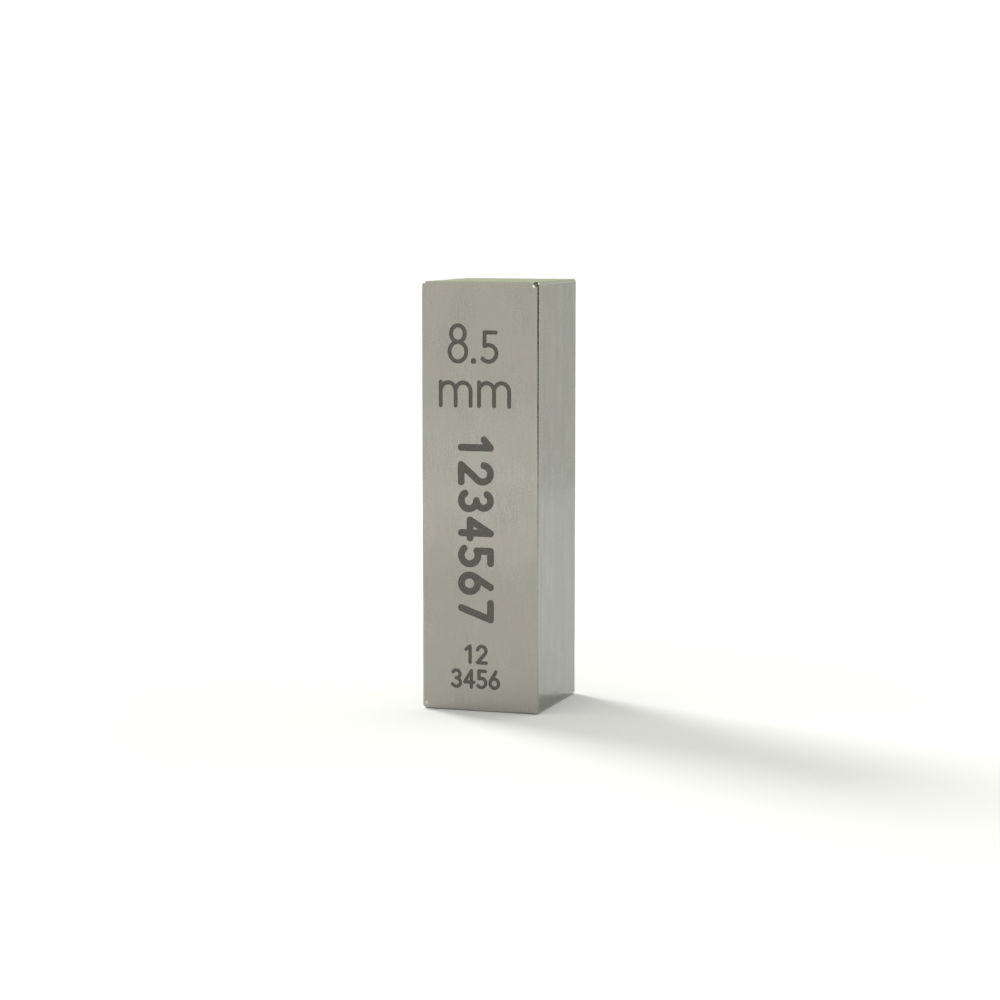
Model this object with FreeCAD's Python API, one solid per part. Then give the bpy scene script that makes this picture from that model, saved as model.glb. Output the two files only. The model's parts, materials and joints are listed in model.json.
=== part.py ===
import FreeCAD, Part
import os

# A rectangular steel gauge block, ground and lapped from one piece. It stands on one of
# its two ends. All sizes are in millimetres.
#
# Frame: the origin is at the middle of the lower end, and +Z runs up the longest edge.
# The two lapped measuring faces are at -X and +X, a nominal length apart. The side face
# that takes the size marking is at -Y.

# Driving dimensions
NOMINAL_LENGTH = 8.5  # the gauged length, between the measuring faces, along X
SECTION_DEPTH = 9.0  # the short side of a measuring face, along Y
SECTION_HEIGHT = 30.0  # the long side of a measuring face, along Z
LEFT_ROUNDING = 0.35  # radius where the measuring face at -X rolls over to an end
RIGHT_ROUNDING = 0.2  # the same at +X, which the stone has touched less
EDGE_BREAK = 0.1  # chamfer along the whole outline of each side face

FLAT = 1e-6  # an edge that varies less than this along an axis lies square to it


def ground_blank():
    """The plain block, centred on X and Y, with its lower end at Z = 0."""
    start = FreeCAD.Vector(-NOMINAL_LENGTH / 2, -SECTION_DEPTH / 2, 0)
    return Part.makeBox(NOMINAL_LENGTH, SECTION_DEPTH, SECTION_HEIGHT, start)


def edges_along_y(block, side):
    """The two edges where the measuring face at -X (side -1) or +X (side 1) meets the ends."""
    return [
        edge
        for edge in block.Edges
        if edge.BoundBox.YLength > SECTION_DEPTH / 2 and side * edge.BoundBox.XMin > 0
    ]


def roll_over_ends(block):
    """Rounds the four edges along Y, each pair with the radius of its own measuring face."""
    for side, radius in ((-1, LEFT_ROUNDING), (1, RIGHT_ROUNDING)):
        block = block.makeFillet(radius, edges_along_y(block, side))
    return block


def break_side_outlines(block):
    """Chamfers the closed outline of each side face, rounded corners included."""
    outlines = [
        edge
        for edge in block.Edges
        if edge.BoundBox.YLength < FLAT and abs(edge.BoundBox.YMin) > SECTION_DEPTH / 2 - FLAT
    ]
    return block.makeChamfer(EDGE_BREAK, outlines)


def gauge_block():
    block = ground_blank()
    block = roll_over_ends(block)
    block = break_side_outlines(block)
    return block.Solids[0]


os.makedirs("parts", exist_ok=True)
block = gauge_block()
block.exportStep("parts/gauge_block.step")

size = block.BoundBox
print(f"gauge_block: {size.XLength:.3f} x {size.YLength:.3f} x {size.ZLength:.3f} mm")
print(f"volume {block.Volume:.2f} mm3, {len(block.Faces)} faces, valid {block.isValid()}")
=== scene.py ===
# %% [markdown]
# # A steel gauge block
#
# A gauge block is a small bar of hardened steel whose two lapped faces are an exact distance
# apart. There is only one piece, so everything here is about how well it is finished: crisp
# ground faces, two faces like soft mirrors, edges that a stone has just touched, marks etched
# a hair deep, and the small knocks of years in use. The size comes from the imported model, and
# this script never changes it.

# %% Load the machined block
import json
import math
import random

import bmesh
import bpy
from mathutils import Matrix, Vector, noise

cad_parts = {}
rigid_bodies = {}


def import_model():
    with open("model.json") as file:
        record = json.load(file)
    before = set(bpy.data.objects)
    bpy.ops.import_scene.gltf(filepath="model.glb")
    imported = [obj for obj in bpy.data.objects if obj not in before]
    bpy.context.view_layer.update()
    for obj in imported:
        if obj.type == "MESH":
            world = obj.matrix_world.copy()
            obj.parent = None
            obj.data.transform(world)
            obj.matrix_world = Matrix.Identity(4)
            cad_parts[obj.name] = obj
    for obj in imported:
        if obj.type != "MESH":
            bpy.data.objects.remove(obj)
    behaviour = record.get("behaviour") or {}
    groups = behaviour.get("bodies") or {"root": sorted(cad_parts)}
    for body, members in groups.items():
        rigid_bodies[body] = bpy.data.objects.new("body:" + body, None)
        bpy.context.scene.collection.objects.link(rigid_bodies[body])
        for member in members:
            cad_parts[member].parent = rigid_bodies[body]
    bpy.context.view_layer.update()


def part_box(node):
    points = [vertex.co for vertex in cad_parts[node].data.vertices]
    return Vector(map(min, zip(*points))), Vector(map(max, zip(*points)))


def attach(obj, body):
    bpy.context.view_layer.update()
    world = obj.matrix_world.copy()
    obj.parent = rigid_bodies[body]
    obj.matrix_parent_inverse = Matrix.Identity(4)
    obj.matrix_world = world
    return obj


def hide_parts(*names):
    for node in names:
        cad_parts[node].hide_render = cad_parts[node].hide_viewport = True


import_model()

low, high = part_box("gauge_block")
print("the block fills", [round(1000 * side, 3) for side in high - low], "mm")

# %% [markdown]
# ## Working in millimetres
#
# Blender's tools are tuned for things about a metre in size, and an etched line is only a few
# hundredths of a millimetre deep. Cutting at that scale in metres invites rounding errors. So
# the block is drawn with one Blender unit for each millimetre, and the finished mesh is shrunk
# a thousand times, once, at the end.

# %% The block's measures
MM = 0.001  # one millimetre in metres

size = (high - low) / MM
middle = (high + low) / 2 / MM
half = size / 2

LEFT_ROUNDING = 0.35  # where the measuring face at -X rolls over to an end
RIGHT_ROUNDING = 0.2  # the same at +X
EDGE_BREAK = 0.1  # along the outline of the marked side and the one behind it


def set_down_in_metres(mesh):
    """Shrinks a mesh that was drawn in millimetres to its real size."""
    mesh.transform(Matrix.Scale(MM, 4))


print("gauged length", round(size.x, 3), "mm, section", round(size.z, 1), "by", round(size.y, 1))

# %% [markdown]
# ## The camera
#
# It looks at the marked side from a little to the right and a little above, so that one
# measuring face shows as a narrow strip. A long lens from about twenty centimetres keeps the
# upright edges nearly parallel, as a close-up picture of a small part does.

# %% Camera
AZIMUTH = math.radians(18.12)
ELEVATION = math.radians(6.09)
CAMERA_DISTANCE = 194.0 * MM
AIM_BELOW_MIDDLE = 0.57 * MM


def add_camera():
    aim = middle * MM - Vector((0, 0, AIM_BELOW_MIDDLE))
    towards_camera = Vector(
        (
            math.sin(AZIMUTH) * math.cos(ELEVATION),
            -math.cos(AZIMUTH) * math.cos(ELEVATION),
            math.sin(ELEVATION),
        )
    )
    data = bpy.data.cameras.new("camera")
    data.sensor_width = 36
    data.lens = 98.4
    data.clip_start = 0.005
    camera = bpy.data.objects.new("camera", data)
    bpy.context.collection.objects.link(camera)
    camera.location = aim + towards_camera * CAMERA_DISTANCE
    camera.rotation_mode = "QUATERNION"
    camera.rotation_quaternion = (-towards_camera).to_track_quat("-Z", "Y")
    bpy.context.scene.camera = camera
    return camera


camera = add_camera()
print("camera at", [round(1000 * v, 1) for v in camera.location], "mm")

# %% [markdown]
# ## Wiring nodes
#
# The surroundings, the finishes and the etching pen are all node trees. Writing each link out
# in full hides what a tree does, so three small helpers do the wiring. `feed` takes either a
# plain value or another node's output, which lets one line say what goes into a socket.

# %% Wiring helpers
def add(tree, kind, **settings):
    node = tree.nodes.new(kind)
    for name, value in settings.items():
        setattr(node, name, value)
    return node


def feed(tree, socket, value):
    """Links another node's output to a socket, or sets the socket to a plain value."""
    if isinstance(value, bpy.types.NodeSocket):
        tree.links.new(value, socket)
    else:
        socket.default_value = value


def maths(tree, operation, first, second):
    node = add(tree, "ShaderNodeMath", operation=operation)
    feed(tree, node.inputs[0], first)
    feed(tree, node.inputs[1], second)
    return node.outputs[0]


def rescale(tree, value, from_low, from_high, to_low, to_high):
    """Maps one range of numbers to another, easing in and out at the ends."""
    node = add(tree, "ShaderNodeMapRange", interpolation_type="SMOOTHSTEP")
    feed(tree, node.inputs["Value"], value)
    node.inputs["From Min"].default_value = from_low
    node.inputs["From Max"].default_value = from_high
    node.inputs["To Min"].default_value = to_low
    node.inputs["To Max"].default_value = to_high
    return node.outputs["Result"]


def blend_colours(tree, amount, first, second):
    node = add(tree, "ShaderNodeMix", data_type="RGBA")
    factor, first_socket, second_socket = node.inputs[0], node.inputs[6], node.inputs[7]
    feed(tree, factor, amount)
    feed(tree, first_socket, first)
    feed(tree, second_socket, second)
    return node.outputs[2]


# %% [markdown]
# ## The table and the light
#
# Polished steel shows its surroundings more than itself, so the light matters as much as the
# material. A white table runs under the block. One soft lamp stands behind it on the left and
# throws a shadow towards the front right. The rest of the light comes evenly from all round.

# %% Table
TABLE_RADIUS = 150 * MM
TABLE_WHITE = (0.86, 0.86, 0.86, 1)


def add_table():
    mesh = bpy.data.meshes.new("table")
    drawing = bmesh.new()
    bmesh.ops.create_circle(drawing, cap_ends=True, segments=128, radius=TABLE_RADIUS)
    drawing.to_mesh(mesh)
    drawing.free()
    table = bpy.data.objects.new("table", mesh)
    bpy.context.collection.objects.link(table)
    paint = bpy.data.materials.new("table_white")
    paint.use_nodes = True
    shader = paint.node_tree.nodes["Principled BSDF"]
    shader.inputs["Base Color"].default_value = TABLE_WHITE
    shader.inputs["Roughness"].default_value = 1.0
    shader.inputs["Specular IOR Level"].default_value = 0.0
    mesh.materials.append(paint)


add_table()

# %% Lamp
LAMP_AZIMUTH = math.radians(147)  # from +X towards +Y: behind the block, on its left
LAMP_ELEVATION = math.radians(34.5)
LAMP_WIDTH = math.radians(22)  # how wide the lamp looks from the block
LAMP_STRENGTH = 2.1


def direction(azimuth, elevation):
    flat = math.cos(elevation)
    return Vector((flat * math.cos(azimuth), flat * math.sin(azimuth), math.sin(elevation)))


def add_lamp():
    data = bpy.data.lights.new("soft_lamp", "SUN")
    data.energy = LAMP_STRENGTH
    data.angle = LAMP_WIDTH
    lamp = bpy.data.objects.new("soft_lamp", data)
    bpy.context.collection.objects.link(lamp)
    lamp.rotation_mode = "QUATERNION"
    lamp.rotation_quaternion = direction(LAMP_AZIMUTH, LAMP_ELEVATION).to_track_quat("Z", "Y")


add_lamp()

# %% [markdown]
# ## What the steel reflects
#
# In an evenly white room a polished edge disappears. What draws it is something dimmer to
# reflect. So the room has a few soft dim places, and each one serves one kind of edge: the
# ceiling for the upper edges, an unlit corner on the right for the upright edge beside the
# measuring face, and smaller patches for the rolled corners and the bruise. The camera itself
# sees plain white behind the table.

# %% Surroundings
ROOM_LOW = (0.91, 0.90, 0.83, 1)  # level with the block and below
ROOM_HIGH = (1.07, 1.07, 1.06, 1)  # from about a third of the way up
DIM_PLACES = (
    # name, towards, half angle of the core, half angle where it has faded, colour
    ("ceiling", Vector((-0.31, -0.03, 0.95)), 16, 36, (0.85, 0.88, 0.70, 1)),
    ("over the bruise", Vector((0.37, -0.33, 0.88)), 14, 26, (0.14, 0.15, 0.10, 1)),
    ("upper left", Vector((-0.88, 0.14, 0.46)), 9, 18, (0.22, 0.23, 0.14, 1)),
    ("behind", Vector((-0.1, 0.95, 0.3)), 14, 30, (0.62, 0.68, 0.50, 1)),
    ("right", Vector((0.95, -0.31, 0.1)), 16, 27, (0.06, 0.06, 0.045, 1)),
)


def add_surroundings():
    world = bpy.data.worlds.new("studio")
    world.use_nodes = True
    bpy.context.scene.world = world
    tree = world.node_tree
    tree.nodes.clear()
    looking = add(tree, "ShaderNodeTexCoord").outputs["Generated"]
    height = add(tree, "ShaderNodeSeparateXYZ")
    feed(tree, height.inputs["Vector"], looking)
    upwards = rescale(tree, height.outputs["Z"], 0.0, 0.35, 0, 1)
    room = blend_colours(tree, upwards, ROOM_LOW, ROOM_HIGH)
    for name, towards, core, edge, colour in DIM_PLACES:
        nearness = add(tree, "ShaderNodeVectorMath", operation="DOT_PRODUCT", label=name)
        feed(tree, nearness.inputs[0], looking)
        feed(tree, nearness.inputs[1], towards.normalized())
        faded, full = math.cos(math.radians(edge)), math.cos(math.radians(core))
        dim = rescale(tree, nearness.outputs["Value"], faded, full, 0, 1)
        room = blend_colours(tree, dim, room, colour)
    light = add(tree, "ShaderNodeBackground")
    feed(tree, light.inputs["Color"], room)
    backdrop = add(tree, "ShaderNodeBackground")
    backdrop.inputs["Color"].default_value = (1, 1, 1, 1)
    choose = add(tree, "ShaderNodeMixShader")
    feed(tree, choose.inputs["Fac"], add(tree, "ShaderNodeLightPath").outputs["Is Camera Ray"])
    feed(tree, choose.inputs[1], light.outputs["Background"])
    feed(tree, choose.inputs[2], backdrop.outputs["Background"])
    output = add(tree, "ShaderNodeOutputWorld")
    feed(tree, output.inputs["Surface"], choose.outputs["Shader"])


add_surroundings()
bpy.context.scene.view_settings.view_transform = "Standard"

# %% [markdown]
# ## Grinding the body
#
# A box with a Bevel modifier would come close, but it gives every edge the same width all the
# way along. A stone held by hand takes a little more here and a little less there. So the body
# is built as rings. Seen along Y, the block is a tall rectangle with rolled corners, and each
# ring is that outline, drawn a little smaller where the edge is broken. How much smaller varies
# gently from point to point, which makes every edge slightly uneven.

# %% The outline seen along Y
CORNER_STEPS = 12  # straight pieces in a rolled corner
STRAIGHT_STEP = 0.6  # how far apart the points stand along a straight run


def rolled_corner(right, up, start):
    """Points round one corner, a quarter turn from the angle start, and outwards at each."""
    radius = RIGHT_ROUNDING if right > 0 else LEFT_ROUNDING
    centre = Vector((middle.x, middle.z)) + Vector(
        (right * (half.x - radius), up * (half.z - radius))
    )
    turns = [math.radians(start + 90 * step / CORNER_STEPS) for step in range(CORNER_STEPS + 1)]
    outwards = [Vector((math.cos(turn), math.sin(turn))) for turn in turns]
    return [(centre + radius * outward, outward) for outward in outwards]


def straight_run(start, end):
    """The points strictly between two neighbours on the outline."""
    (first, outward), (last, _) = start, end
    steps = round((last - first).length / STRAIGHT_STEP)
    return [(first.lerp(last, step / steps), outward) for step in range(1, steps)]


def block_outline():
    corners = [rolled_corner(*which) for which in ((1, 1, 0), (-1, 1, 90), (-1, -1, 180), (1, -1, 270))]
    rim = []
    for corner, following in zip(corners, corners[1:] + corners[:1]):
        rim += corner + straight_run(corner[-1], following[0])
    return rim


OUTLINE = block_outline()
print(len(OUTLINE), "points round the outline")

# %% Rings and broken edges
# Across a broken edge, from the side face to the measuring face: how far in and how far back
# each ring lies, as shares of the edge's width. The long middle step is nearly a flat.
BREAK_STEPS = ((1.0, 0.0), (0.82, 0.05), (0.05, 0.82), (0.0, 1.0))


def stoned_width(x, y, z):
    """How wide the broken edge is at a point, which a hand-held stone never leaves even."""
    slow = noise.noise(Vector((x, y, z)) * 0.35)
    quick = noise.noise(Vector((x, y, z)) * 1.9)
    return EDGE_BREAK * (1 + 0.35 * slow + 0.15 * quick)


def add_ring(body, side, inset_share, recess_share):
    """One ring near the side face at -Y (side -1) or +Y (side 1)."""
    ring = []
    for point, outward in OUTLINE:
        width = stoned_width(point.x, side * half.y, point.y)
        across = point - outward * width * inset_share
        depth = middle.y + side * (half.y - width * recess_share)
        ring.append(body.verts.new((across.x, depth, across.y)))
    return ring


def bridge(body, ring, next_ring, finish_at):
    """A band of four-sided faces between two rings."""
    for step, (_, outward) in enumerate(OUTLINE):
        after = (step + 1) % len(OUTLINE)
        corners = (ring[step], ring[after], next_ring[after], next_ring[step])
        face = body.faces.new(corners)
        face.material_index = finish_at(outward, OUTLINE[after][1])


# %% [markdown]
# Which finish a face gets is decided while it is made. The wide band between the two sides
# holds the measuring faces, the ends and the rolled corners between them.

# %% Build the body
GROUND, GROUND_END, LAPPED, STONED = range(4)


def finish_of_band(outward, next_outward):
    if (outward - next_outward).length > 1e-6:
        return STONED
    return LAPPED if abs(outward.x) > 0.5 else GROUND_END


def stoned_everywhere(outward, next_outward):
    return STONED


def ground_body():
    body = bmesh.new()
    front = [add_ring(body, -1, *step) for step in BREAK_STEPS]
    back = [add_ring(body, 1, *step) for step in BREAK_STEPS]
    for edge in (front, back):
        for ring, next_ring in zip(edge, edge[1:]):
            bridge(body, ring, next_ring, stoned_everywhere)
        body.faces.new(edge[0]).material_index = GROUND
    bridge(body, front[-1], back[-1], finish_of_band)
    bmesh.ops.recalc_face_normals(body, faces=body.faces)
    return body


body = ground_body()
open_edges = [edge for edge in body.edges if not edge.is_manifold]
print("ground body:", len(body.faces), "faces,", len(open_edges), "open edges")
print("volume", round(body.calc_volume(signed=True), 2), "cubic mm")

# %% [markdown]
# ## Finishes
#
# All the steel is the same alloy, so one recipe makes every bare finish, and only the lay of
# the marks, their size and the gloss differ. The recipe reads the piece's own coordinates, in
# millimetres, so each pattern keeps its true size whatever the shape of the mesh.

# %% Patterns in millimetres
def new_finish(name):
    material = bpy.data.materials.new(name)
    material.use_nodes = True
    return material.node_tree, material.node_tree.nodes["Principled BSDF"], material


def drawn_out(tree, per_mm, turn=(0, 0, 0)):
    """Object coordinates in millimetres, times the pattern's fineness along each axis."""
    place = add(tree, "ShaderNodeMapping")
    feed(tree, place.inputs["Vector"], add(tree, "ShaderNodeTexCoord").outputs["Object"])
    place.inputs["Rotation"].default_value = turn
    place.inputs["Scale"].default_value = Vector(per_mm) / MM
    return place.outputs["Vector"]


def grain(tree, per_mm, detail=2.0, turn=(0, 0, 0)):
    """Soft noise from 0 to 1, stretched wherever per_mm is small."""
    cloud = add(tree, "ShaderNodeTexNoise")
    feed(tree, cloud.inputs["Vector"], drawn_out(tree, per_mm, turn))
    cloud.inputs["Scale"].default_value = 1.0
    cloud.inputs["Detail"].default_value = detail
    return cloud.outputs["Fac"]


def sum_of(tree, *parts):
    """Adds patterns, each centred on zero and times its weight."""
    total = 0.0
    for pattern, weight in parts:
        centred = maths(tree, "SUBTRACT", pattern, 0.5)
        total = maths(tree, "ADD", total, maths(tree, "MULTIPLY", centred, weight))
    return total


def raise_by(tree, shader, height, tallest_mm):
    """Bumps the surface by a pattern from 0 to 1 whose full height is given in millimetres."""
    bump = add(tree, "ShaderNodeBump")
    bump.inputs["Strength"].default_value = 1.0
    bump.inputs["Distance"].default_value = tallest_mm * MM
    feed(tree, bump.inputs["Height"], height)
    feed(tree, shader.inputs["Normal"], bump.outputs["Normal"])


# %% [markdown]
# ### Ground satin
#
# A grinding wheel leaves fine parallel lines. Up close they are grooves a thousandth of a
# millimetre deep. From a step away they only blur what the steel reflects and give it a faint
# grain. Over the lines lie broad patches that are slightly warmer or greener, where oil has
# dried. Low on the block, and a little less near its top, the steel is painted darker: painted
# shade, which low down stands for the shaded table that the steel reflects.

# %% Ground satin
def painted_end_shade(tree):
    """Painted shade: 1 low on the block, up to 0.65 near its top, and 0 in the middle."""
    place = add(tree, "ShaderNodeSeparateXYZ")
    feed(tree, place.inputs["Vector"], drawn_out(tree, (1, 1, 1)))
    sway = maths(tree, "MULTIPLY", grain(tree, (0.3, 0.3, 0.3), detail=1.0), 6.0)
    height = maths(tree, "ADD", place.outputs["Z"], maths(tree, "SUBTRACT", sway, 3.0))
    foot = rescale(tree, height, 8.0, 14.5, 1, 0)
    head = rescale(tree, height, 18.0, 23.0, 0, 0.65)
    return maths(tree, "MAXIMUM", foot, head)


def ground_steel(name, lengthwise, crosswise, across, glancing):
    """Ground steel whose lines run along one axis: per_mm scales for long, fine and broad lines."""
    tree, shader, material = new_finish(name)
    lines = grain(tree, lengthwise, detail=3.0)
    fine_lines = grain(tree, crosswise, detail=2.0)
    specks = grain(tree, (8, 8, 8), detail=3.0)
    patches = grain(tree, across, detail=2.0)
    tone = sum_of(tree, (lines, 0.5), (fine_lines, 0.5), (specks, 1.0), (patches, 0.4))
    dark, light = (0.34, 0.33, 0.295, 1), (0.49, 0.475, 0.445, 1)
    brightness = rescale(tree, tone, -0.35, 0.35, 0, 1)
    steel = blend_colours(tree, brightness, dark, light)
    warmth = rescale(tree, grain(tree, (0.5, 0.5, 0.35), detail=2.0), 0.38, 0.62, 0.0, 0.5)
    warmed = blend_colours(tree, warmth, steel, (0.428, 0.398, 0.362, 1))
    film = rescale(tree, grain(tree, (0.75, 0.75, 0.5), detail=2.0), 0.45, 0.68, 0.0, 0.5)
    filmed = blend_colours(tree, film, warmed, (0.392, 0.408, 0.372, 1))
    # Painted shade: the steel is darkened towards its foot and its top, where its reflections are dimmer.
    painted_shade_amount = maths(tree, "MULTIPLY", painted_end_shade(tree), 0.42)
    feed(tree, shader.inputs["Base Color"], blend_colours(tree, painted_shade_amount, filmed, (0.295, 0.28, 0.243, 1)))
    feed(tree, shader.inputs["Roughness"], rescale(tree, tone, -0.4, 0.4, 0.36, 0.5))
    shader.inputs["Metallic"].default_value = 1.0
    shader.inputs["Specular Tint"].default_value = glancing
    raise_by(tree, shader, sum_of(tree, (lines, 0.6), (fine_lines, 0.4)), 0.0012)
    return material


ground_satin = ground_steel(
    "ground_satin", (14, 14, 0.5), (45, 45, 2), (0.45, 0.45, 0.25), (0.8, 0.8, 0.78, 1)
)
ground_end = ground_steel(
    "ground_end", (0.5, 14, 14), (2, 45, 45), (0.45, 0.45, 0.45), (0.93, 1.0, 0.84, 1)
)

# %% [markdown]
# ### Lapped steel
#
# Lapping replaces the grinding lines with a surface flat enough to cling to another block. It
# is a mirror with a slight haze. Use adds two things: faint streaks along the block, and
# hairlines in all directions from wringing it to others.

# %% Lapped steel
def hairlines(tree, per_mm, turn):
    """Long thin scratches: 1 on a scratch and 0 elsewhere."""
    cells = add(tree, "ShaderNodeTexVoronoi", feature="DISTANCE_TO_EDGE")
    feed(tree, cells.inputs["Vector"], drawn_out(tree, per_mm, turn))
    cells.inputs["Scale"].default_value = 1.0
    return rescale(tree, cells.outputs["Distance"], 0.0, 0.02, 1, 0)


def lapped_steel():
    tree, shader, material = new_finish("lapped_face")
    streaks = grain(tree, (1.1, 1.1, 0.06), detail=2.0)
    fine_streaks = grain(tree, (16, 16, 0.7), detail=2.0)
    haze = grain(tree, (0.8, 0.8, 0.4), detail=3.0)
    leaning = hairlines(tree, (0.35, 0.35, 0.05), (0.4, 0, 0))
    crossing = hairlines(tree, (0.3, 0.3, 0.04), (-1.1, 0, 0))
    scratches = maths(tree, "MAXIMUM", leaning, crossing)
    specks = grain(tree, (8, 8, 5), detail=3.0)
    tone = sum_of(tree, (streaks, 0.35), (fine_streaks, 0.3), (specks, 0.75), (haze, 0.45))
    dark, light = (0.33, 0.332, 0.31, 1), (0.445, 0.446, 0.428, 1)
    brightness = rescale(tree, tone, -0.35, 0.35, 0, 1)
    feed(tree, shader.inputs["Base Color"], blend_colours(tree, brightness, dark, light))
    clouded = rescale(tree, haze, 0.3, 0.7, 0.11, 0.17)
    roughness = maths(tree, "ADD", clouded, maths(tree, "MULTIPLY", scratches, 0.12))
    feed(tree, shader.inputs["Roughness"], roughness)
    shader.inputs["Metallic"].default_value = 1.0
    shader.inputs["Specular Tint"].default_value = (0.72, 0.73, 0.72, 1)
    relief = maths(tree, "SUBTRACT", fine_streaks, scratches)
    raise_by(tree, shader, relief, 0.0006)
    return material


lapped_face = lapped_steel()

# %% [markdown]
# ### Stoned edges and bruises
#
# The broken edges are rubbed, not lapped, so they are smoother than the ground faces and carry
# short scratches. A bruise is bare metal that has been crushed: bright and uneven. The facets of
# the nicks are painted near white, brighter than steel can be, so they show as painted highlights.

# %% Stoned edges and bruises
def rubbed_steel(name, dark, light, smooth, rough, relief_mm):
    tree, shader, material = new_finish(name)
    rub = grain(tree, (9, 9, 9), detail=4.0)
    feed(tree, shader.inputs["Base Color"], blend_colours(tree, rub, dark, light))
    feed(tree, shader.inputs["Roughness"], rescale(tree, rub, 0.3, 0.7, smooth, rough))
    shader.inputs["Metallic"].default_value = 1.0
    raise_by(tree, shader, rub, relief_mm)
    return material


stoned_edge = rubbed_steel(
    "stoned_edge", (0.36, 0.355, 0.32, 1), (0.44, 0.435, 0.40, 1), 0.16, 0.3, 0.002
)
bruised_steel = rubbed_steel(
    "bruised_steel", (0.40, 0.39, 0.36, 1), (0.60, 0.59, 0.56, 1), 0.12, 0.3, 0.006
)
# Painted highlight: a near-white colour, brighter than steel can be, so the nicks' facets show as white
# glints.
painted_glint_steel = rubbed_steel(
    "painted_glint_steel", (0.90, 0.89, 0.85, 1), (0.97, 0.96, 0.93, 1), 0.2, 0.3, 0.001
)

# %% [markdown]
# ### Etched marks
#
# The marks are eaten into the steel, and the floor of each line keeps a dull dark oxide. It is
# no longer a mirror, so this finish isn't metallic, and its colour is mottled at the scale of
# the line itself.

# %% Etched marks
def etched_oxide():
    tree, shader, material = new_finish("etched_mark")
    mottle = grain(tree, (11, 11, 11), detail=4.0)
    deep, worn = (0.062, 0.057, 0.05, 1), (0.112, 0.104, 0.09, 1)
    spread = rescale(tree, mottle, 0.3, 0.7, 0, 1)
    feed(tree, shader.inputs["Base Color"], blend_colours(tree, spread, deep, worn))
    feed(tree, shader.inputs["Roughness"], rescale(tree, mottle, 0.3, 0.7, 0.55, 0.8))
    shader.inputs["Metallic"].default_value = 0.0
    raise_by(tree, shader, mottle, 0.008)
    return material


etched_mark = etched_oxide()

FINISHES = (
    ground_satin,
    ground_end,
    lapped_face,
    stoned_edge,
    etched_mark,
    bruised_steel,
    painted_glint_steel,
)
for finish in FINISHES:
    print(finish.name, "is made of", len(finish.node_tree.nodes), "nodes")

# %% Put the body on the bench
def as_object(name, drawing, finishes):
    """Turns a bmesh drawing into an object with the given finishes in its slots."""
    mesh = bpy.data.meshes.new(name)
    drawing.to_mesh(mesh)
    drawing.free()
    for finish in finishes:
        mesh.materials.append(finish)
    made = bpy.data.objects.new(name, mesh)
    bpy.context.collection.objects.link(made)
    return made


block = as_object("block", body, FINISHES)

# %% [markdown]
# ## The engraver's alphabet
#
# Marks like these are drawn with a pen of one width, so a digit is a centre line and not an
# outline. Each digit is written here as a few straight and round strokes in a box one unit
# tall, and a later step gives the strokes their width. Blender's own font would bring its own
# letter shapes, with outlines that are hard to keep at one stroke width.

# %% Strokes
DEGREES_PER_STEP = 9


def line(*points):
    """A straight stroke through the points."""
    return [Vector((x, y)) for x, y in points]


def arc(centre, across, up, start, end):
    """A round stroke from angle start to angle end, in degrees, turning either way."""
    steps = max(2, math.ceil(abs(end - start) / DEGREES_PER_STEP))
    angles = [math.radians(start + (end - start) * i / steps) for i in range(steps + 1)]
    x, y = centre
    return [Vector((x + across * math.cos(a), y + up * math.sin(a))) for a in angles]


ALPHABET = {
    "1": [line((0.08, 0.78), (0.34, 1.0)), line((0.34, 1.0), (0.34, 0.0))],
    "2": [
        arc((0.28, 0.73), 0.27, 0.27, 170, -35),
        line((0.501, 0.575), (0.0, 0.0)),
        line((0.0, 0.0), (0.56, 0.0)),
    ],
    "3": [
        arc((0.26, 0.76), 0.24, 0.24, 150, -90),
        arc((0.26, 0.26), 0.27, 0.26, 90, -150),
    ],
    "4": [
        line((0.42, 0.0), (0.42, 1.0)),
        line((0.42, 1.0), (0.0, 0.3)),
        line((0.0, 0.3), (0.58, 0.3)),
    ],
    "5": [
        line((0.5, 1.0), (0.1, 1.0)),
        line((0.1, 1.0), (0.1, 0.54)),
        arc((0.247, 0.285), 0.285, 0.285, 121, -140),
    ],
    "6": [
        arc((0.27, 0.28), 0.27, 0.28, 0, 360),
        line((0.035, 0.43), (0.38, 1.0)),
    ],
    "7": [line((0.0, 1.0), (0.54, 1.0)), line((0.54, 1.0), (0.18, 0.0))],
    "8": [
        arc((0.247, 0.773), 0.203, 0.227, -90, 270),
        arc((0.247, 0.273), 0.247, 0.273, -90, 270),
    ],
    ".": [line((0.0, 0.0), (0.04, 0.0)), line((0.0, 0.04), (0.04, 0.04))],
    "m": [
        line((0.0, 0.0), (0.0, 1.02)),
        arc((0.341, 0.65), 0.341, 0.35, 180, 0),
        line((0.683, 0.65), (0.683, 0.0)),
        arc((1.024, 0.65), 0.341, 0.35, 180, 0),
        line((1.366, 0.65), (1.366, 0.0)),
    ],
}

print(len(ALPHABET), "signs in the alphabet")

# %% [markdown]
# ## Laying out the marks
#
# The marked side is treated as a drawing board seen from the front, with its zero in the middle
# of the lower edge. The size stands at the top. Below it a plain number reads downwards, and a
# shorter one fills two rows near the foot.

# %% Layout
def place(sign, at, tall, reads_down=False):
    """A sign's strokes on the board, tall millimetres high, from its lower left corner."""
    turn = Matrix.Rotation(math.radians(-90 if reads_down else 0), 2)
    corner = Vector(at)
    return [[corner + turn @ (point * tall) for point in stroke] for stroke in ALPHABET[sign]]


def size_mark():
    return (
        place("8", (-2.205, 24.48), 2.49)
        + place(".", (-0.5, 24.48), 2.49)
        + place("5", (0.15, 24.5), 2.01)
        + place("m", (-2.855, 21.42), 1.6)
        + place("m", (-0.05, 21.42), 1.6)
    )


def long_number():
    strokes = []
    for place_in_row, digit in enumerate("1234567"):
        strokes += place(digit, (-1.36, 19.25 - 1.93 * place_in_row), 2.14, reads_down=True)
    return strokes


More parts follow.
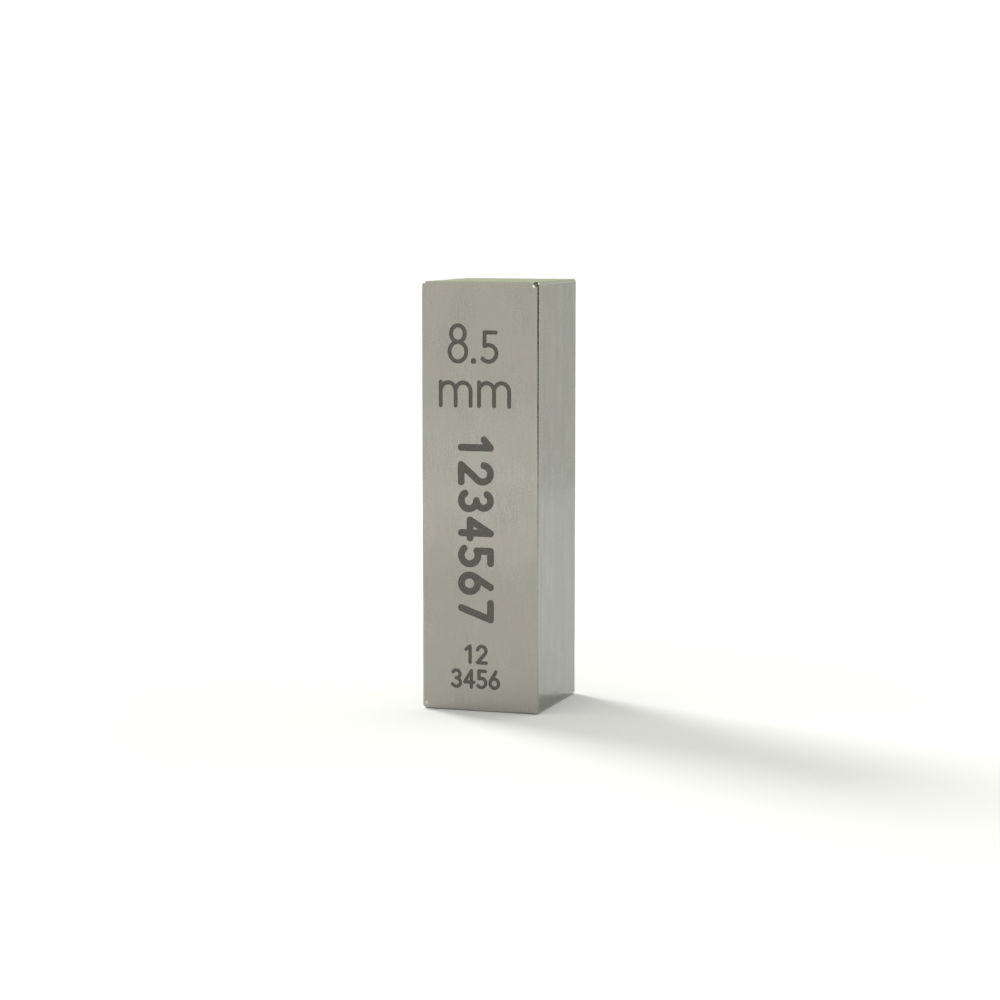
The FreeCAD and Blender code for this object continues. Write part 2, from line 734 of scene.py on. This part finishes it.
def short_number():
    strokes = []
    for digits, left, foot in (("12", -1.12, 3.45), ("3456", -2.05, 1.7)):
        for place_in_row, digit in enumerate(digits):
            strokes += place(digit, (left + 0.93 * place_in_row, foot), 1.16)
    return strokes


# %% [markdown]
# ## From centre lines to cuts
#
# A Geometry Nodes tree plays the pen. It sweeps a small rectangle along every centre line, adds
# a round disc at both ends of each stroke, nudges the outline a little, because acid never bites
# a clean edge, and merges everything that overlaps. The width of the line and its depth are
# inputs of the tree, so one tree serves all three sizes of lettering.

# %% The etching pen
SAME_PLACE = 1e-5  # points of a cutter that lie closer than this are one point
STEP_ALONG_STROKE = 0.1
RAGGED_BY = 0.05  # how far apart the outline's furthest nudges are, in and out
RAGGED_PER_MM = 4.0


def etching_pen():
    tree = bpy.data.node_groups.new("etching_pen", "GeometryNodeTree")
    sockets = {}
    for name, kind in (
        ("Centre lines", "NodeSocketGeometry"),
        ("Line width", "NodeSocketFloat"),
        ("Depth", "NodeSocketFloat"),
        ("Rise above face", "NodeSocketFloat"),
        ("Finish", "NodeSocketMaterial"),
    ):
        sockets[name] = tree.interface.new_socket(name, in_out="INPUT", socket_type=kind)
    tree.interface.new_socket("Cutter", in_out="OUTPUT", socket_type="NodeSocketGeometry")
    given = add(tree, "NodeGroupInput").outputs
    tall = maths(tree, "ADD", given["Depth"], given["Rise above face"])

    stepped = add(tree, "GeometryNodeResampleCurve", mode="LENGTH")
    feed(tree, stepped.inputs["Curve"], given["Centre lines"])
    stepped.inputs["Length"].default_value = STEP_ALONG_STROKE
    flat = add(tree, "GeometryNodeSetCurveNormal", mode="Z_UP")
    feed(tree, flat.inputs["Curve"], stepped.outputs["Curve"])
    section = add(tree, "GeometryNodeCurvePrimitiveQuadrilateral")
    feed(tree, section.inputs["Width"], given["Line width"])
    feed(tree, section.inputs["Height"], tall)
    sweep = add(tree, "GeometryNodeCurveToMesh")
    sweep.inputs["Fill Caps"].default_value = True
    feed(tree, sweep.inputs["Curve"], flat.outputs["Curve"])
    feed(tree, sweep.inputs["Profile Curve"], section.outputs["Curve"])

    disc = add(tree, "GeometryNodeMeshCylinder")
    disc.inputs["Vertices"].default_value = 24
    feed(tree, disc.inputs["Radius"], maths(tree, "DIVIDE", given["Line width"], 2.0))
    feed(tree, disc.inputs["Depth"], tall)
    round_ends = add(tree, "GeometryNodeInstanceOnPoints")
    ends = add(tree, "GeometryNodeCurveEndpointSelection")
    feed(tree, round_ends.inputs["Points"], given["Centre lines"])
    feed(tree, round_ends.inputs["Selection"], ends.outputs["Selection"])
    feed(tree, round_ends.inputs["Instance"], disc.outputs["Mesh"])
    loose = add(tree, "GeometryNodeRealizeInstances")
    feed(tree, loose.inputs["Geometry"], round_ends.outputs["Instances"])

    together = add(tree, "GeometryNodeJoinGeometry")
    feed(tree, together.inputs["Geometry"], sweep.outputs["Mesh"])
    feed(tree, together.inputs["Geometry"], loose.outputs["Geometry"])
    spread = add(tree, "ShaderNodeVectorMath", operation="MULTIPLY")
    feed(tree, spread.inputs[0], add(tree, "GeometryNodeInputPosition").outputs["Position"])
    spread.inputs[1].default_value = (RAGGED_PER_MM, RAGGED_PER_MM, 0)
    bite = add(tree, "ShaderNodeTexNoise")
    feed(tree, bite.inputs["Vector"], spread.outputs["Vector"])
    bite.inputs["Scale"].default_value = 1.0
    from_middle = add(tree, "ShaderNodeVectorMath", operation="SUBTRACT")
    feed(tree, from_middle.inputs[0], bite.outputs["Color"])
    from_middle.inputs[1].default_value = (0.5, 0.5, 0.5)
    nudge = add(tree, "ShaderNodeVectorMath", operation="MULTIPLY")
    feed(tree, nudge.inputs[0], from_middle.outputs["Vector"])
    nudge.inputs[1].default_value = (RAGGED_BY, RAGGED_BY, 0)
    ragged = add(tree, "GeometryNodeSetPosition")
    feed(tree, ragged.inputs["Geometry"], together.outputs["Geometry"])
    feed(tree, ragged.inputs["Offset"], nudge.outputs["Vector"])

    merged = add(tree, "GeometryNodeMeshBoolean", operation="UNION", solver="EXACT")
    merged.inputs["Self Intersection"].default_value = True
    feed(tree, merged.inputs["Mesh 2"], ragged.outputs["Geometry"])

    welded = add(tree, "GeometryNodeMergeByDistance")
    feed(tree, welded.inputs["Geometry"], merged.outputs["Mesh"])
    welded.inputs["Distance"].default_value = SAME_PLACE

    lift = add(tree, "ShaderNodeCombineXYZ")
    above_centre = maths(tree, "SUBTRACT", given["Rise above face"], given["Depth"])
    feed(tree, lift.inputs["Z"], maths(tree, "DIVIDE", above_centre, 2.0))
    lifted = add(tree, "GeometryNodeTransform")
    feed(tree, lifted.inputs["Geometry"], welded.outputs["Geometry"])
    feed(tree, lifted.inputs["Translation"], lift.outputs["Vector"])
    real = add(tree, "GeometryNodeRealizeInstances")
    feed(tree, real.inputs["Geometry"], lifted.outputs["Geometry"])
    finish = add(tree, "GeometryNodeSetMaterial")
    feed(tree, finish.inputs["Geometry"], real.outputs["Geometry"])
    feed(tree, finish.inputs["Material"], given["Finish"])
    out = add(tree, "NodeGroupOutput")
    feed(tree, out.inputs["Cutter"], finish.outputs["Geometry"])
    return tree, {name: socket.identifier for name, socket in sockets.items()}


pen, pen_inputs = etching_pen()
print("the pen has", len(pen.nodes), "nodes")

# %% Run the pen along each group of marks
ETCH_DEPTH = 0.02
CUTTER_RISE = 0.1


def etch_cutter(name, strokes, line_width):
    lines = bpy.data.curves.new(name, "CURVE")
    lines.dimensions = "3D"
    for stroke in strokes:
        spline = lines.splines.new("POLY")
        spline.points.add(len(stroke) - 1)
        for point, where in zip(spline.points, stroke):
            point.co = (where.x, where.y, 0, 1)
    drawing = bpy.data.objects.new(name, lines)
    bpy.context.collection.objects.link(drawing)
    modifier = drawing.modifiers.new("pen", "NODES")
    modifier.node_group = pen
    modifier[pen_inputs["Line width"]] = line_width
    modifier[pen_inputs["Depth"]] = ETCH_DEPTH
    modifier[pen_inputs["Rise above face"]] = CUTTER_RISE
    modifier[pen_inputs["Finish"]] = etched_mark
    seen = drawing.evaluated_get(bpy.context.evaluated_depsgraph_get())
    mesh = bpy.data.meshes.new_from_object(seen)
    bpy.data.objects.remove(drawing)
    bpy.data.curves.remove(lines)
    return mesh


def stand_against_side(mesh):
    """Turns the drawing board upright, facing -Y, and puts its zero at the foot of the side."""
    board = Matrix.Translation((0, -half.y, 0)) @ Matrix.Rotation(math.radians(90), 4, "X")
    mesh.transform(board)


def settle(piece):
    """Makes what the piece's modifiers show its own mesh, and removes them."""
    seen = piece.evaluated_get(bpy.context.evaluated_depsgraph_get())
    piece_mesh = bpy.data.meshes.new_from_object(seen)
    piece.modifiers.clear()
    piece.data = piece_mesh


def carve(piece, tool):
    """Takes the tool's shape out of the piece. The new faces keep the tool's finish."""
    cut = piece.modifiers.new("cut", "BOOLEAN")
    cut.object = tool
    cut.operation = "DIFFERENCE"
    cut.solver = "EXACT"
    cut.material_mode = "TRANSFER"
    settle(piece)
    print("carved", tool.name + ", the block now has", len(piece.data.polygons), "faces")
    bpy.data.objects.remove(tool)


GROUPS = (
    ("size_mark", size_mark(), 0.29),
    ("long_number", long_number(), 0.5),
    ("short_number", short_number(), 0.25),
)

for name, strokes, line_width in GROUPS:
    cutter = etch_cutter(name, strokes, line_width)
    stand_against_side(cutter)
    tool = bpy.data.objects.new(name, cutter)
    bpy.context.collection.objects.link(tool)
    carve(block, tool)

# %% [markdown]
# ## Knocks
#
# The block has been dropped or tapped on its upper right corner. The steel there is crushed
# into a dark slanted patch that runs on along the upper edge, and two nicks carry facets painted
# near white, as painted highlights.
# Each dent is carved with a lump that has its own uneven shape, as the thing that struck the
# block had. The seed is fixed, so the block is bruised in the same way every time. A nick is
# carved with a flat-ended punch, because only a flat sends all its light to one side.

# %% Knocks on the corners
KNOCKS = (
    # name, where its middle stands, its radii, how uneven it is, seed
    ("corner_chip", (4.605, -5.52, 30.63), (1.5, 1.5, 1.5), 0.02, 3),
    ("edge_dent", (3.84, -4.55, 30.04), (0.34, 0.16, 0.13), 0.1, 5),
    ("rubbed_foot", (-3.97, -4.57, 0.42), (0.2, 0.09, 0.24), 0.1, 11),
)
NICKS = (
    # name, the middle of its flat, its length
    ("nick_on_face", (3.88, -4.465, 29.70), 0.21),
    ("nick_in_chip", (4.19, -4.27, 29.87), 0.14),
)
NICK_FACES = Vector((0, -0.95, 0.3))
NICK_LEAN = math.radians(-50)


def knock(name, at, radii, unevenness, seed):
    chance = random.Random(seed)
    lump = bmesh.new()
    bmesh.ops.create_icosphere(lump, subdivisions=3, radius=1)
    for vertex in lump.verts:
        vertex.co *= 1 + unevenness * chance.uniform(-1, 1)
    bmesh.ops.scale(lump, vec=radii, verts=lump.verts)
    bmesh.ops.translate(lump, vec=at, verts=lump.verts)
    return as_object(name, lump, [bruised_steel])


def punch(name, at, length):
    """A flat-ended punch, half as wide as it is long, that leaves one facet painted near white, a painted
    highlight.
    """
    flat = bmesh.new()
    bmesh.ops.create_cube(flat, size=length)
    bmesh.ops.scale(flat, vec=(1, 0.45, 1), verts=flat.verts)
    bmesh.ops.translate(flat, vec=(0, 0, length / 2), verts=flat.verts)
    turn = NICK_FACES.to_track_quat("Z", "Y").to_matrix() @ Matrix.Rotation(NICK_LEAN, 3, "Z")
    bmesh.ops.rotate(flat, cent=(0, 0, 0), matrix=turn, verts=flat.verts)
    bmesh.ops.translate(flat, vec=at, verts=flat.verts)
    return as_object(name, flat, [painted_glint_steel])


for name, at, radii, unevenness, seed in KNOCKS:
    carve(block, knock(name, at, radii, unevenness, seed))
for name, at, length in NICKS:
    carve(block, punch(name, at, length))

# %% [markdown]
# ## Shading and handing over
#
# The broken edges should shade smoothly while the broad faces stay dead flat. Weighted normals
# do that: where a narrow strip meets a broad face, the broad face decides. Creases over thirty
# degrees stay sharp, which keeps the walls of the marks crisp.

# %% Smooth shading
CREASE = math.radians(30)


def shade(piece):
    piece.data.shade_smooth()
    piece.data.set_sharp_from_angle(angle=CREASE)
    weigh = piece.modifiers.new("flat faces lead", "WEIGHTED_NORMAL")
    weigh.mode = "FACE_AREA"
    weigh.keep_sharp = True
    settle(piece)


shade(block)
faces_by_finish = [0] * len(block.data.materials)
for face in block.data.polygons:
    faces_by_finish[face.material_index] += 1
for finish, count in zip(block.data.materials, faces_by_finish):
    print(finish.name, "covers", count, "faces")

# %% Hand over
set_down_in_metres(block.data)
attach(block, "root")
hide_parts("gauge_block")
